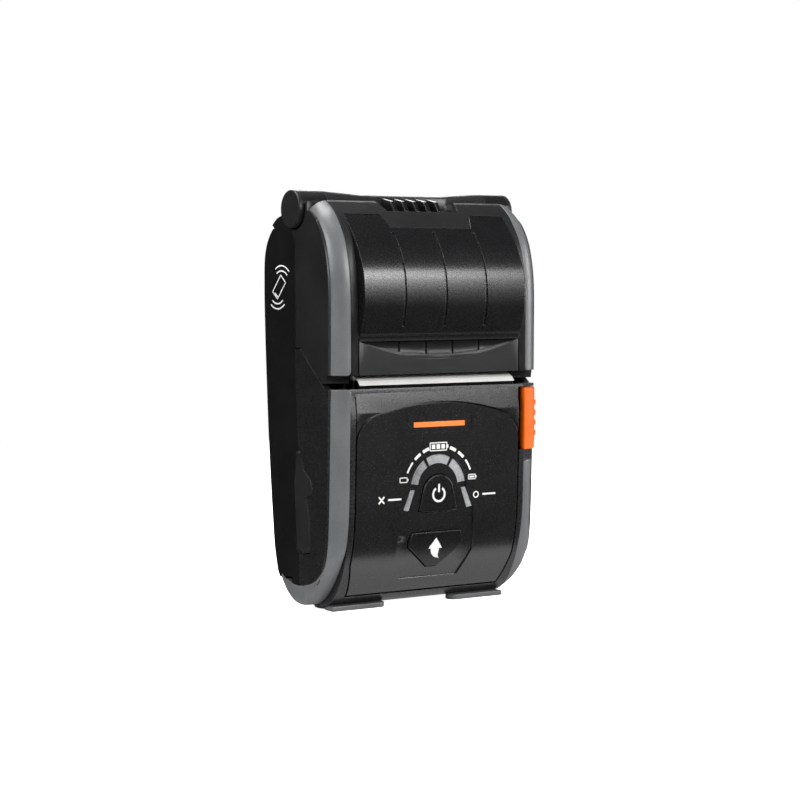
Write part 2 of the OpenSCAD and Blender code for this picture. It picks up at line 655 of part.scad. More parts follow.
module head_springs() {
    low = head_z - 8.9 + frame_t;
    color(steel) for (x = [-8, 16]) translate([x, head_y + 3, low]) difference() {
        cylinder(h = head_z - head_t - sink_t - low, d = 4);
        translate([0, 0, -1]) cylinder(h = big, d = 2.8);
    }
}
tooth_pitch = 1.5;
bar_h = 1.9;
module tear_bar() {
    count = floor((2 * dome_half - 1) / tooth_pitch);
    span = count * tooth_pitch / 2;
    edge = [for (i = [0 : count - 1]) each [[-span + i * tooth_pitch, slot_z + bar_h - 0.7],
        [-span + (i + 0.5) * tooth_pitch, slot_z + bar_h]]];
    color(steel) along_y(concat(edge, [[span, slot_z + bar_h - 0.7], [span, slot_z], [-span, slot_z]]),
        -front_y + 1.5, -front_y + 2.1);
}
module paper_sensor() {
    color(black) block([8, head_y + 11, slot_top - 2.6], [12, head_y + 14, slot_top + 0.6]);
}
paper_t = 0.2;
// Paper from the roll, under the platen and out through the slot
module paper_strip() {
    gap = paper_t / 2 + 0.12;
    lean = acos((platen_d / 2 - roll_r) / norm(roll - platen));
    turn = atan2(roll.y - platen.y, roll.x - platen.x) - lean;
    bend = arc(platen, platen_d / 2 + gap, turn, -90, 4);
    off = [cos(turn), sin(turn)];
    path = concat([roll + off * (roll_r + gap)], bend, [[platen.x - 4, bend[4].y],
        [-front_y + 2, bend[4].y - 0.8], [-front_y + 1, bend[4].y - 2]]);
    color(paper_white) along_x(concat(shifted(path, paper_t / 2), reversed(shifted(path, -paper_t / 2))),
        -paper_w / 2, paper_w / 2);
}
module feed_motor() {
    color(silver) union() {
        rod_x(motor, motor_d, -plate_in + 0.02, -plate_in + motor_l);
        rod_x(motor, 4.8, -plate_out, -plate_in + 1);
    }
}
module idler_axle() {
    color(steel) union() {
        rod_x(idler, 2, gear_x - 0.2, -plate_in);
        rod_x(idler, 3.2, gear_x - 0.35, gear_x - 0.1);
    }
}
// Spur gear along X with straight-flanked teeth, one of them at the given angle
module gear(at, teeth, phase, bore, from) {
    r = pitch_r(teeth);
    pitch = 360 / teeth;
    tip = tip_r(teeth);
    root = r - 1.2 * gear_module;
    tooth = [[root, -0.32], [tip, -0.1], [tip, 0.1], [root, 0.32]];
    points = [for (i = [0 : teeth - 1]) each [for (k = tooth)
        at + k.x * [cos(phase + (i + k.y) * pitch), sin(phase + (i + k.y) * pitch)]]];
    difference() {
        along_x(points, from, from + gear_w);
        rod_x(at, bore, from - 1, from + gear_w + 1);
    }
}
to_idler = atan2(idler.y - platen.y, idler.x - platen.x);
idler_phase = to_idler + 180 + 180 / idler_teeth;
idler_pitch = 360 / idler_teeth;
slip = (motor_dir - idler_phase) - idler_pitch * floor((motor_dir - idler_phase) / idler_pitch);
motor_phase = motor_dir + 180 + slip * idler_teeth / motor_teeth + 180 / motor_teeth;
module platen_gear() {
    color(charcoal) gear(platen, platen_teeth, to_idler, shaft_d, gear_x);
}
module idler_gear() {
    color(charcoal) gear(idler, idler_teeth, idler_phase, 2 + 2 * run_gap, gear_x);
}
motor_shaft_d = 1.6;
module motor_gear() {
    color(steel) union() {
        gear(motor, motor_teeth, motor_phase, motor_shaft_d - 0.2, gear_x);
        rod_x(motor, motor_shaft_d, gear_x, -plate_out - 0.1);
    }
}

board_half = 26.8;
module main_board() {
    color(green) difference() {
        union() {
            block([-board_half, board_y, boss_low - 7.2],
                [board_half, board_y + board_t, motor.y - motor_d / 2 - 0.2]);
            block([-boss_x - 1.8, board_y, boss_low - 2.5],
                [boss_x + 1.8, board_y + board_t, boss_high + 2.4]);
        }
        board_places() rod_y([0, 0], 1.5, -big, big);
    }
}
switch_t = 1.4;
module key_switches() {
    color(silver) for (z = [key_high, key_low]) block([-3, board_y - switch_t, z - 2],
        [3, board_y, z + 2]);
}
module indicator_leds() {
    color(paper_white) for (s = lights) let (c = (s[0] + s[floor(len(s) / 2)]) / 2)
        block([c.x - 0.8, board_y - 0.9, c.y - 0.8], [c.x + 0.8, board_y, c.y + 0.8]);
}
module power_socket() {
    back = port_x + wall + 9;
    color(black) difference() {
        block([port_x + wall, sockets_y - 3.8, power_z - 4], [back, sockets_y + 3.8, power_z + 4]);
        translate([port_x + wall - 1, sockets_y, power_z]) rotate([0, 90, 0]) cylinder(h = 9, d = power_d);
    }
    color(silver) translate([port_x + wall + 1, sockets_y, power_z]) rotate([0, 90, 0])
        cylinder(h = 7.5, d = 1.6);
}
// Half thickness, half height and length of the data socket, and its metal skin
data_t = 2;
data_h = 3.8;
data_l = 7.6;
data_skin = 0.4;
module data_socket() {
    front = port_x + wall;
    color(silver) difference() {
        block([front, sockets_y - data_t, data_z - data_h],
            [front + data_l, sockets_y + data_t, data_z + data_h]);
        block([port_x, sockets_y - data_t + data_skin, data_z - data_h + data_skin],
            [front + data_l - 1, sockets_y + data_t - data_skin, data_z + data_h - data_skin]);
    }
    color(black) block([front + 1, sockets_y - data_skin, data_z - data_h + 1.2],
        [front + data_l - 0.8, sockets_y + data_skin, data_z + data_h - 1.2]);
}
contact_w = 17.8;
contact_h = 3.8;
contact_z = pack_z + pack_h / 4;
module contact_space(gap, back) {
    block([-contact_w / 2 - gap, pack_y - pack_gap - well_wall - 1.2, contact_z - gap],
        [contact_w / 2 + gap, back, contact_z + contact_h + gap]);
}
module battery_contacts() {
    color(steel) contact_space(0, pack_y - pack_gap - 0.1);
}
module case_screws() {
    color(silver) union() {
        screw_places() {
            rod_y([0, 0], screw_d - 0.02, -8, 2.1);
            difference() {
                rod_y([0, 0], 4.2, 2, 3.4);
                rod_y([0, 0], 1.6, 2.8, 4);
            }
        }
        board_places() {
            rod_y([0, 0], 1.38, board_y - 2.8, board_y + board_t + 0.1);
            rod_y([0, 0], 2.8, board_y + board_t, board_y + board_t + 0.9);
        }
    }
}
release_at = [-release_y - 2.6, release_z + release_h / 2];
stem_d = 3;
spring_r = stem_d / 2 + 1.1;
module release_spring() {
    color(steel) difference() {
        rod_x(release_at, 2 * spring_r, plate_out, half_w - wall - 1 - release_travel - 0.1);
        rod_x(release_at, stem_d + 0.6, 0, big);
    }
}

// Front half of the hinge barrel's waist, as [radius, x]
waist = no_further(smooth([[barrel_r, barrel_l / 2], [barrel_r, barrel_l / 2 - 1.2],
    [waist_r + 0.4, barrel_l / 3], [waist_r, barrel_l / 4]]), barrel_r);
rib_top = 17.4;
rib_low = 13.1;
module cover_barrel() {
    translate([0, hinge.x, hinge.y]) rotate([0, 90, 0]) rotate_extrude()
        polygon(concat([[0, barrel_l / 2]], waist, [for (p = reversed(waist)) [p.x, -p.y]],
        [[0, -barrel_l / 2]]));
}
module cover_web() {
    along_x([lid_face[0] + [0.2, -0.9], lid_face[0] + [0.4, -5], hinge + [-2, -3], hinge + [0, 1],
        hinge + [-4, 1.4]], -barrel_l / 2, barrel_l / 2);
}
module rib_recess() {
    along_y([[-rib_low, hinge_z - 0.5], [rib_low, hinge_z - 0.5], [rib_top, hinge_z + 8],
        [-rib_top, hinge_z + 8]], -big, hinge_y - waist_r + 2.2);
}
module platen_arm() {
    union() {
        rod_x(platen, platen_d + 0.6, arm_in, arm_in + arm_t);
        block([arm_in, -front_y + wall - 0.4, slot_top + 0.6], [arm_in + arm_t, platen.x, platen.y + 4]);
    }
}
module cover_frame() {
    color(charcoal) difference() {
        union() {
            intersection() {
                case_shell();
                along_x(lid_region, -half_w, half_w);
            }
            cover_barrel();
            cover_web();
            both_sides() platen_arm();
        }
        both_sides() rod_x(hinge, 2 * knuckle_clear, barrel_l / 2, half_w + 1);
        rod_x(hinge, pin_d + 2 * run_gap, -half_w, half_w);
        both_sides() rod_x(platen, bush_d, arm_in - 1, arm_in + arm_t + 1);
        rod_x(platen, 2 * tip_r(platen_teeth) + 0.7, gear_x - 0.3, gear_x + gear_w + 0.3);
        along_y(window(0.1), -big, -front_y + 12);
        // Recess for the fingers, parted by narrow grooves, with a slanted lower edge
        along_y(finger_lens(finger_h), -big, -front_y + finger_depth);
        intersection() {
            along_y(finger_lens(finger_h), -big, 0);
            for (x = [-1.5, -0.5, 0.5, 1.5] * finger_pitch)
                block([x - 0.4, -big, slot_top], [x + 0.4, -front_y + finger_depth + 0.4, dome_z + 1]);
        }
        intersection() {
            along_y(finger_lens(finger_h + finger_lip), -big, 0);
            along_x([[-big, dome_z - finger_h - finger_lip], [-front_y, dome_z - finger_h - finger_lip],
                [-front_y + finger_lip / 2, dome_z - finger_h], [-front_y + finger_lip / 2, dome_z],
                [-big, dome_z]], -dome_half, dome_half);
        }
        both_sides() block([dome_half - 0.1, -big, slot_top - 1],
            [dome_half + 0.5, -front_y + groove_deep, dome_z + 1]);
        difference() {
            rib_recess();
            rod_x(hinge, 2 * waist_r - 0.02, -rib_top - 1, rib_top + 1);
        }
    }
}
// Lens under the window, as high as given in its middle
finger_lip = 1.2;
function finger_lens(h) = let (r = (dome_half * dome_half + h * h) / (2 * h), a = asin(dome_half / r))
    concat(arc([0, dome_z - h + r], r, 270 - a, 270 + a, 16),
    [[dome_half, dome_z + 0.3], [-dome_half, dome_z + 0.3]]);

groove_x = 15;
groove_w = 0.8;
groove_deep = 0.45;
module cover_dome() {
    above_lip = [for (p = dome_face) if (p.y > dome_z + 3.5) p];
    inner = [for (p = shifted(above_lip, dome_wall)) [p.x, min(p.y, hinge_z - 1.6 - dome_wall)]];
    back = -front_y + wall + 0.1;
    color(black) difference() {
        intersection() {
            along_y(window(0), -big, 0);
            along_x(concat(dome_face, [[back, dome_z], [back, hinge_z - 26.2], [back + 1.1, hinge_z - 18.2],
                [back + 3.2, hinge_z - 9.4], [back + 6.3, hinge_z - 3.6]]), -dome_half, dome_half);
        }
        along_x(concat([[5, inner[0].y]], inner, [[inner[len(inner) - 1].x, dome_z + dome_wall],
            [5, dome_z + dome_wall]]), -dome_half + dome_wall, dome_half - dome_wall);
        for (x = [-groove_x, 0, groove_x]) intersection() {
            along_x(concat(shifted(above_lip, -1), reversed(shifted(above_lip, groove_deep))),
                x - groove_w / 2, x + groove_w / 2);
            block([-big, -big, dome_z + 4.3], [big, big, hinge_z - 7]);
        }
        rod_x(roll, roll_d + 0.8, -big, big);
    }
}
module cover_ribs() {
    span = (fins - 1) * fin_pitch;
    color(black) difference() {
        for (i = [0 : fins - 1]) let (x = i * fin_pitch - span / 2)
            along_x([lid_face[0] + [0.3, 0.1], hinge + [-waist_r * cos(50), waist_r * sin(50)],
                hinge + [-waist_r, 0], [hinge_y - waist_r + 0.3, hinge_z - 0.5],
                [lid_face[0].x - 2.2, hinge_z - 0.5]], x - fin_w / 2, x + fin_w / 2);
        rod_x(hinge, 2 * waist_r + 0.06, -big, big);
    }
}
module platen_bushes() {
    color(silver) both_sides() difference() {
        rod_x(platen, bush_d - 0.04, arm_in, plate_out + 0.4);
        rod_x(platen, shaft_d + 2 * run_gap, 0, big);
    }
}
module platen_roller() {
    color(black) difference() {
        rod_x(platen, platen_d, -platen_l / 2, platen_l / 2);
        rod_x(platen, shaft_d, -big, big);
    }
}
module platen_shaft() {
    color(steel) rod_x(platen, shaft_d, gear_x, plate_out + 1);
}
module paper_roll() {
    color(paper_white) difference() {
        rod_x(roll, roll_d, -paper_w / 2, paper_w / 2);
        rod_x(roll, core_d, -big, big);
    }
}
module paper_core() {
    color([0.62, 0.5, 0.36]) difference() {
        rod_x(roll, core_d, -paper_w / 2, paper_w / 2);
        rod_x(roll, core_d - 2, -big, big);
    }
}

key_back = board_y - switch_t - key_travel - 0.1;
// Key that follows the curve of the panel, with a rim behind it and a stem
module key(shape, z, proud) {
    union() {
        intersection() {
            along_y(shape, -big, 0);
            along_x(face_band(-proud, panel_t + 0.6), -half_w, half_w);
        }
        intersection() {
            along_y(inset(shape, -0.8), -big, 0);
            along_x(face_band(panel_t + 0.1, panel_t + 0.6), -half_w, half_w);
        }
        rod_y([0, z], 3.2, face_y(z) + panel_t, key_back);
    }
}
module power_button() {
    color(black) key(power_shape, key_high, 0.1);
}
module feed_button() {
    color(black) key(feed_shape, key_low, 0.1);
}
// Plan view of the release button, round the corner of the case
function corner_plan(grow) = let (c = [bumper_x, -front_y + corner_r])
    [for (a = [-90 : 9 : 0]) c + [(corner_r + grow) * cos(a), corner_r * sin(a)]];
module release_button() {
    inner = half_w - wall - 1;
    ribs_z = release_z + (release_h - (grips - 1) * grip_pitch) / 2;
    color(orange) difference() {
        union() {
            translate([0, 0, release_z]) linear_extrude(release_h)
                polygon(concat(corner_plan(release_out), [[half_w + release_out - 0.4, -release_y],
                    [inner, -release_y],
                    [inner, release_at.x - spring_r - 0.2], [bumper_x, -front_y + 2.6]]));
            for (i = [0 : grips - 1]) translate([0, 0, ribs_z + i * grip_pitch - 0.7]) linear_extrude(1.4)
                polygon(concat([for (p = corner_plan(release_out + grip_out)) if (p.x > half_w - 2.4) p],
                    [[half_w, -release_y - 0.6], [half_w - 2.4, -front_y + 2.6]]));
            rod_x(release_at, stem_d, inner - 2.1, inner + 0.6);
        }
    }
}
module port_cover() {
    // The bead along the top is where the rubber bends
    color(black) union() {
        along_x(port_shape, port_x, port_x + port_t);
        rod_y(port_axis, 1.2, port_shape[1].x, port_shape[0].x);
    }
}
module battery_pack() {
    color(black) intersection() {
        along_x(inset(outline, 0.1), -half_w, half_w);
        battery_space(0);
    }
}

rear_housing();
front_housing();
control_panel();
name_plate();
light_window(light_low);  // battery_light_low
light_window(light_mid);  // battery_light_mid
light_window(light_full);  // battery_light_full
light_window(error_shape);  // error_light
light_window(status_shape);  // status_light
mirror([1, 0, 0]) lower_bumper(0);  // lower_bumper_left
lower_bumper(2 * step);  // lower_bumper_right
mirror([1, 0, 0]) rear_bumper();  // rear_bumper_left
rear_bumper();  // rear_bumper_right
mirror([1, 0, 0]) foot();  // foot_left
foot();  // foot_right
hinge_pin();
mirror([1, 0, 0]) hinge_cap();  // hinge_cap_left
hinge_cap();  // hinge_cap_right
hinge_spring();
paper_bay();
print_frame();
print_head();
heat_sink();
head_springs();
tear_bar();
paper_sensor();
paper_strip();
feed_motor();
idler_axle();
main_board();
key_switches();
indicator_leds();
power_socket();
data_socket();
battery_contacts();
case_screws();
release_spring();
cover_frame();
cover_dome();
cover_ribs();
mirror([1, 0, 0]) upper_bumper();  // upper_bumper_left
upper_bumper();  // upper_bumper_right
platen_bushes();
platen_roller();
platen_shaft();
platen_gear();
idler_gear();
motor_gear();
paper_roll();
paper_core();
power_button();
feed_button();
release_button();
port_cover();
battery_pack();
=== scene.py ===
import bpy
import bmesh
from math import radians, pi, sin, cos
from mathutils import Matrix, Vector
from mathutils.bvhtree import BVHTree


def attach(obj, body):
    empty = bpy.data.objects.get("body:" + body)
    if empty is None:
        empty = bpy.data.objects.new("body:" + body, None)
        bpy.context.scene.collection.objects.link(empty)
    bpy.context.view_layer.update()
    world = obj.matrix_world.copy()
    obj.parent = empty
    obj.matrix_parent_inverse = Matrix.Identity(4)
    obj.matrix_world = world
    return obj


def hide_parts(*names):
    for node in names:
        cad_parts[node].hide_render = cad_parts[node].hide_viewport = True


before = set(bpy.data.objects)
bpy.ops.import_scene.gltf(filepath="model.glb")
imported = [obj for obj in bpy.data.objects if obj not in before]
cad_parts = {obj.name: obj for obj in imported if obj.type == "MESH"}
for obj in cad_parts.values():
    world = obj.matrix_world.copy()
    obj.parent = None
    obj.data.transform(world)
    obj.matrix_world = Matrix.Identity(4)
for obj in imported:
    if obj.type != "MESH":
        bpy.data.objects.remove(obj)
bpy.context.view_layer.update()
scene = bpy.context.scene
scene.view_settings.view_transform = "Standard"
MM = 0.001

# The camera, fitted to the outline of the case: metres, degrees, and millimetres for the lens.
EYE_PLACE = (-0.3616, -0.5494, 0.1050)
EYE_TURN = 33.22
EYE_TILT = 3.6
EYE_ROLL = 0.11
EYE_LENS = 93.825
EYE_SENSOR = 36
EYE_NEAR = 0.05

# The soft lamps: name, place, the point each one faces, width, height and watts.
CASE_MIDDLE = (0, 0, 0.06)
LID_MIDDLE = (0, 0, 0.09)
LAMPS = (
    ("front_box", (0.33, -0.87, 0.42), LID_MIDDLE, 0.55, 0.22, 8),
    ("left_box", (-0.95, -0.2, 0.6), CASE_MIDDLE, 0.5, 0.5, 8.2),
    ("top_box", (-0.1, 0.1, 1), CASE_MIDDLE, 0.6, 0.6, 12),
    ("right_box", (0.95, -0.3, 0.25), CASE_MIDDLE, 0.3, 0.4, 4),
    ("back_box", (0.5, 0.95, 0.5), CASE_MIDDLE, 0.5, 0.4, 4),
)
ROOM_GLOW = 0.035

# The floor. Glossy faces see it as a bright strip in front of the feet, dim before and behind it.
FLOOR_RADIUS = 0.62
FLOOR_SIDES = 96
FLOOR_WHITE = 0.9
STRIP_BEGINS = (-0.0385, -0.033)
STRIP_ENDS = (-0.028, 0.02)
DIM_BEFORE = 0.04
DIM_BEHIND = 0.03


def set_camera():
    data = bpy.data.cameras.new("view")
    data.sensor_width = EYE_SENSOR
    data.lens = EYE_LENS
    data.clip_start = EYE_NEAR
    camera = bpy.data.objects.new("view", data)
    scene.collection.objects.link(camera)
    turn = (Matrix.Rotation(-radians(EYE_TURN), 4, "Z")
            @ Matrix.Rotation(pi / 2 - radians(EYE_TILT), 4, "X")
            @ Matrix.Rotation(radians(EYE_ROLL), 4, "Z"))
    camera.matrix_world = Matrix.Translation(EYE_PLACE) @ turn
    scene.camera = camera


def softbox(name, place, aim, width, height, power):
    data = bpy.data.lights.new(name, "AREA")
    data.shape = "RECTANGLE"
    data.size = width
    data.size_y = height
    data.energy = power
    lamp = bpy.data.objects.new(name, data)
    scene.collection.objects.link(lamp)
    facing = (Vector(place) - Vector(aim)).to_track_quat("Z", "Y")
    lamp.matrix_world = Matrix.Translation(place) @ facing.to_matrix().to_4x4()


def set_studio():
    """A white background, a faint glow from all round and the soft lamps."""
    world = bpy.data.worlds.new("studio")
    scene.world = world
    world.use_nodes = True
    tree = world.node_tree
    tree.nodes.clear()
    path = tree.nodes.new("ShaderNodeLightPath")
    glow = tree.nodes.new("ShaderNodeBackground")
    glow.inputs["Color"].default_value = (1, 1, 1, 1)
    glow.inputs["Strength"].default_value = ROOM_GLOW
    white = tree.nodes.new("ShaderNodeBackground")
    white.inputs["Color"].default_value = (1, 1, 1, 1)
    mix = tree.nodes.new("ShaderNodeMixShader")
    out = tree.nodes.new("ShaderNodeOutputWorld")
    tree.links.new(path.outputs["Is Camera Ray"], mix.inputs[0])
    tree.links.new(glow.outputs[0], mix.inputs[1])
    tree.links.new(white.outputs[0], mix.inputs[2])
    tree.links.new(mix.outputs[0], out.inputs["Surface"])
    for lamp in LAMPS:
        softbox(*lamp)


def set_floor():
    bm = bmesh.new()
    bmesh.ops.create_circle(bm, cap_ends=True, segments=FLOOR_SIDES, radius=FLOOR_RADIUS)
    me = bpy.data.meshes.new("floor")
    bm.to_mesh(me)
    bm.free()
    floor = bpy.data.objects.new("floor", me)
    scene.collection.objects.link(floor)
    m = bpy.data.materials.new("floor_white")
    m.use_nodes = True
    tree = m.node_tree
    bsdf = tree.nodes["Principled BSDF"]
    bsdf.inputs["Base Color"].default_value = (FLOOR_WHITE, FLOOR_WHITE, FLOOR_WHITE, 1)
    bsdf.inputs["Roughness"].default_value = 0.9
    bsdf.inputs["Specular IOR Level"].default_value = 0
    bsdf.inputs["Emission Color"].default_value = (1, 1, 1, 1)
    path = tree.nodes.new("ShaderNodeLightPath")
    tree.links.new(path.outputs["Is Camera Ray"], bsdf.inputs["Emission Strength"])
    place = tree.nodes.new("ShaderNodeSeparateXYZ")
    tree.links.new(tree.nodes.new("ShaderNodeNewGeometry").outputs["Position"], place.inputs[0])
    strip = tree.nodes.new("ShaderNodeMath")
    strip.operation = "MULTIPLY"
    tree.links.new(spread(tree, place.outputs["Y"], DIM_BEFORE, 1, *STRIP_BEGINS), strip.inputs[0])
    tree.links.new(spread(tree, place.outputs["Y"], 1, DIM_BEHIND, *STRIP_ENDS), strip.inputs[1])
    mirrored = tree.nodes.new("ShaderNodeEmission")
    tree.links.new(strip.outputs[0], mirrored.inputs["Strength"])
    pick = tree.nodes.new("ShaderNodeMixShader")
    tree.links.new(path.outputs["Is Glossy Ray"], pick.inputs[0])
    tree.links.new(bsdf.outputs[0], pick.inputs[1])
    tree.links.new(mirrored.outputs[0], pick.inputs[2])
    tree.links.new(pick.outputs[0], tree.nodes["Material Output"].inputs["Surface"])
    me.materials.append(m)


def srgb(*c):
    """A colour as picked from 0 to 255, turned to the shader's scale."""
    return tuple((v / 255 / 12.92) if v <= 10 else ((v / 255 + 0.055) / 1.055) ** 2.4 for v in c) + (1,)


def noise_of(tree, scale, detail=3, stretch=None):
    """Noise on the piece's own coordinates, with scale features to the metre."""
    coords = tree.nodes.new("ShaderNodeTexCoord")
    n = tree.nodes.new("ShaderNodeTexNoise")
    n.inputs["Scale"].default_value = scale
    n.inputs["Detail"].default_value = detail
    source = coords.outputs["Object"]
    if stretch:
        mapping = tree.nodes.new("ShaderNodeMapping")
        mapping.inputs["Scale"].default_value = stretch
        tree.links.new(source, mapping.inputs["Vector"])
        source = mapping.outputs["Vector"]
    tree.links.new(source, n.inputs["Vector"])
    return n.outputs["Fac"]


def spread(tree, source, low, high, start=0.3, end=0.7):
    """The source's values from start to end, stretched to run from low to high."""
    r = tree.nodes.new("ShaderNodeMapRange")
    r.inputs["From Min"].default_value = start
    r.inputs["From Max"].default_value = end
    r.inputs["To Min"].default_value = low
    r.inputs["To Max"].default_value = high
    tree.links.new(source, r.inputs["Value"])
    return r.outputs["Result"]


def blended(tree, factor, a, b):
    m = tree.nodes.new("ShaderNodeMix")
    m.data_type = "RGBA"
    tree.links.new(factor, m.inputs["Factor"])
    for socket, value in ((m.inputs["A"], a), (m.inputs["B"], b)):
        if isinstance(value, tuple):
            socket.default_value = value
        else:
            tree.links.new(value, socket)
    return m.outputs["Result"]


GRAIN_SHARE = 0.6
PATCH_SHARE = 0.4
RUBBED_AND_LIT_PATCH = 900


def finish(name, dark, light, rough, rough_by=0.06, grain=2600, depth=0.05, patch=70, rubbed_and_lit_edge=None,
           rubbed_and_lit_share=0.4, metal=0, coat=0, stretch=None, specular=0.5, round_edge=0.3):
    """A moulded or metal finish: patches, fine grain, uneven gloss, softened edges, and edges lightened
    both as rubbed wear and as a painted edge highlight.
    The grain's depth and the softened edge are in millimetres."""
    m = bpy.data.materials.new(name)
    m.use_nodes = True
    tree = m.node_tree
    b = tree.nodes["Principled BSDF"]
    cloud = noise_of(tree, patch, 4)
    fleck = noise_of(tree, grain, 2, stretch)
    tone = tree.nodes.new("ShaderNodeMath")
    tone.operation = "MULTIPLY_ADD"
    tree.links.new(fleck, tone.inputs[0])
    tone.inputs[1].default_value = GRAIN_SHARE
    tree.links.new(spread(tree, cloud, 0, PATCH_SHARE), tone.inputs[2])
    colour = blended(tree, spread(tree, tone.outputs[0], 0, 1, 0.25, 0.75), dark, light)
    soft = tree.nodes.new("ShaderNodeBevel")
    soft.samples = 4
    soft.inputs["Radius"].default_value = round_edge * MM
    # Painted edge highlight mixed with wear: every edge, hollow ones too, is lightened in patches
    # towards the edge colour.
    if rubbed_and_lit_edge:
        flat = tree.nodes.new("ShaderNodeNewGeometry").outputs["Normal"]
        turn = tree.nodes.new("ShaderNodeVectorMath")
        turn.operation = "DOT_PRODUCT"
        tree.links.new(soft.outputs["Normal"], turn.inputs[0])
        tree.links.new(flat, turn.inputs[1])
        rubbed_and_lit = tree.nodes.new("ShaderNodeMath")
        rubbed_and_lit.operation = "MULTIPLY"
        tree.links.new(spread(tree, turn.outputs["Value"], rubbed_and_lit_share, 0, 0.75, 0.98), rubbed_and_lit.inputs[0])
        tree.links.new(spread(tree, noise_of(tree, RUBBED_AND_LIT_PATCH, 3), 0.2, 1, 0.4, 0.6), rubbed_and_lit.inputs[1])
        colour = blended(tree, rubbed_and_lit.outputs[0], colour, rubbed_and_lit_edge)
    tree.links.new(colour, b.inputs["Base Color"])
    tree.links.new(spread(tree, fleck, rough - rough_by, rough + rough_by), b.inputs["Roughness"])
    bump = tree.nodes.new("ShaderNodeBump")
    bump.inputs["Strength"].default_value = 1
    bump.inputs["Distance"].default_value = depth * MM
    tree.links.new(fleck, bump.inputs["Height"])
    tree.links.new(soft.outputs["Normal"], bump.inputs["Normal"])
    tree.links.new(bump.outputs["Normal"], b.inputs["Normal"])
    b.inputs["Metallic"].default_value = metal
    b.inputs["Coat Weight"].default_value = coat
    b.inputs["Coat Roughness"].default_value = 0.2
    b.inputs["Specular IOR Level"].default_value = specular
    return m


# Each finish's lighter edge colour is partly rubbed wear and partly a painted edge highlight.
FINISHES = {
    "shell": finish("shell_black", srgb(13, 13, 14), srgb(20, 20, 21), 0.36,
                    rubbed_and_lit_edge=srgb(50, 50, 52), specular=0.3),
    "lid": finish("lid_charcoal", srgb(24, 24, 25), srgb(34, 34, 35), 0.36,
                  rubbed_and_lit_edge=srgb(80, 80, 82), specular=0.3),
    "front": finish("front_charcoal", srgb(20, 20, 21), srgb(30, 30, 31), 0.3, depth=0.012,
                    rubbed_and_lit_edge=srgb(70, 70, 72), rubbed_and_lit_share=0.3, specular=0.65),
    "panel": finish("panel_satin", srgb(18, 18, 19), srgb(24, 24, 25), 0.22, depth=0.005,
                    rubbed_and_lit_edge=srgb(56, 56, 58), rubbed_and_lit_share=0.3, specular=1.0, round_edge=0.12),
    "smoked": finish("dome_smoked", srgb(13, 13, 14), srgb(19, 19, 20), 0.28, grain=3000, depth=0.006,
                     rubbed_and_lit_edge=srgb(90, 90, 92)),
    "bumper": finish("bumper_rubber", srgb(84, 85, 86), srgb(98, 99, 100), 0.36, grain=2200, depth=0.02,
                     rubbed_and_lit_edge=srgb(120, 121, 122)),
    "key": finish("key_black", srgb(10, 10, 11), srgb(15, 15, 16), 0.3, depth=0.015,
                  rubbed_and_lit_edge=srgb(80, 80, 82)),
    "orange": finish("release_orange", srgb(206, 84, 4), srgb(218, 100, 12), 0.45, depth=0.02,
                     rubbed_and_lit_edge=srgb(246, 148, 60), specular=0.25),
    "lens": finish("light_lens", srgb(90, 91, 92), srgb(170, 171, 172), 0.35, grain=1500, depth=0.05,
                   coat=0.4),
    "ink": finish("mark_white", srgb(205, 205, 203), srgb(228, 228, 226), 0.55, depth=0.01),
    "stripe": finish("mark_orange", srgb(235, 105, 25), srgb(246, 128, 40), 0.5, depth=0.01),
    "flap": finish("flap_rubber", srgb(22, 22, 23), srgb(32, 32, 33), 0.5, depth=0.03,
                   rubbed_and_lit_edge=srgb(50, 50, 52)),
    "paper": finish("receipt_paper", srgb(206, 206, 203), srgb(220, 220, 218), 0.8, grain=1800,
                    depth=0.01),
    "card": finish("core_card", srgb(150, 120, 84), srgb(178, 146, 106), 0.85, grain=1400, depth=0.04),
    "steel": finish("plate_steel", srgb(150, 152, 155), srgb(188, 190, 193), 0.32, metal=1, depth=0.01,
                    stretch=(0.04, 1, 1), rubbed_and_lit_edge=srgb(220, 221, 222)),
    "blade": finish("blade_dark", srgb(14, 14, 15), srgb(24, 24, 25), 0.4, metal=1, depth=0.01,
                    round_edge=0.1, rubbed_and_lit_edge=srgb(150, 150, 152), rubbed_and_lit_share=0.8),
    "sink": finish("sink_aluminium", srgb(140, 142, 146), srgb(176, 178, 182), 0.42, metal=1, depth=0.02,
                   stretch=(0.05, 1, 1)),
    "brass": finish("bush_bronze", srgb(150, 118, 70), srgb(182, 148, 92), 0.4, metal=1, depth=0.02),
    "gear": finish("gear_nylon", srgb(205, 203, 196), srgb(226, 224, 218), 0.5, depth=0.01),
    "roller": finish("roller_rubber", srgb(26, 26, 27), srgb(38, 38, 39), 0.7, depth=0.03),
    "head": finish("head_ceramic", srgb(188, 180, 164), srgb(214, 208, 196), 0.3, coat=0.4, depth=0.01),
    "board": finish("board_green", srgb(16, 74, 42), srgb(30, 104, 60), 0.35, patch=260, depth=0.02,
                    coat=0.5),
    "plug": finish("plug_black", srgb(20, 20, 21), srgb(30, 30, 31), 0.45, depth=0.02,
                   rubbed_and_lit_edge=srgb(70, 70, 72)),
}

# How close two points are before they count as one, and how level two faces are to be joined.
SAME_POINT = 0.002 * MM
SAME_PLACE = 0.05 * MM
LEVEL = radians(0.3)
SHARP = 32
EDGE_STEPS = 3
CORNER_STEPS = 5


